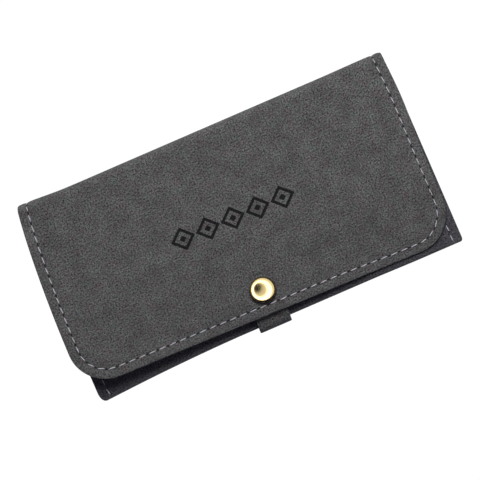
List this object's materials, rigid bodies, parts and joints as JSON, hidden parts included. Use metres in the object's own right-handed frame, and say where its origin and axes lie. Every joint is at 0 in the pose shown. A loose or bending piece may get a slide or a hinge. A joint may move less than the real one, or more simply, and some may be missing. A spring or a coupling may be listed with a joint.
{
  "type": "jewellery pouch",
  "caption": "Flat lined suede pouch for jewellery with a fold-over flap, closed by a brass press stud on a strap that comes round the bottom fold.",
  "frame": {"origin": "middle of the flat back face that the closed pouch lies on", "axes": "+X along the pouch's length, +Y to the top fold, +Z out of the front, up when it lies on its back"},
  "size_m": [0.196, 0.101, 0.0156],
  "materials": {
    "suede": "matt charcoal grey suede",
    "lining": "matt dark grey cloth",
    "brass": "polished",
    "spring_steel": "drawn wire"
  },
  "bodies": {
    "body": {"body_shell": "suede", "body_lining": "lining", "strap_root": "suede"},
    "top_fold": {"top_fold_shell": "suede", "top_fold_lining": "lining"},
    "flap": {"flap_shell": "suede", "flap_lining": "lining", "snap_cap": "brass", "snap_socket": "brass", "snap_spring": "spring_steel"},
    "strap": {"strap_shell": "suede", "strap_lining": "lining", "snap_stud": "brass", "snap_eyelet": "brass"}
  },
  "joints": [
    {"name": "top_fold_lower", "type": "hinge", "parent": "body", "child": "top_fold", "pos_m": [0, 0.04845, 0.0008], "axis": [-1, 0, 0], "range_deg": [0, 90]},
    {"name": "top_fold_upper", "type": "hinge", "parent": "top_fold", "child": "flap", "pos_m": [0, 0.04845, 0.01], "axis": [-1, 0, 0], "range_deg": [0, 86.4]},
    {"name": "strap_bend", "type": "hinge", "parent": "body", "child": "strap", "pos_m": [0, -0.05195, 0.00375], "axis": [1, 0, 0], "range_deg": [0, 165]}
  ],
  "couplings": [
    {"joint": "top_fold_upper", "follows": "top_fold_lower", "ratio": 0.96},
    {"joint": "strap_bend", "follows": "top_fold_lower", "ratio": 1.8333}
  ]
}
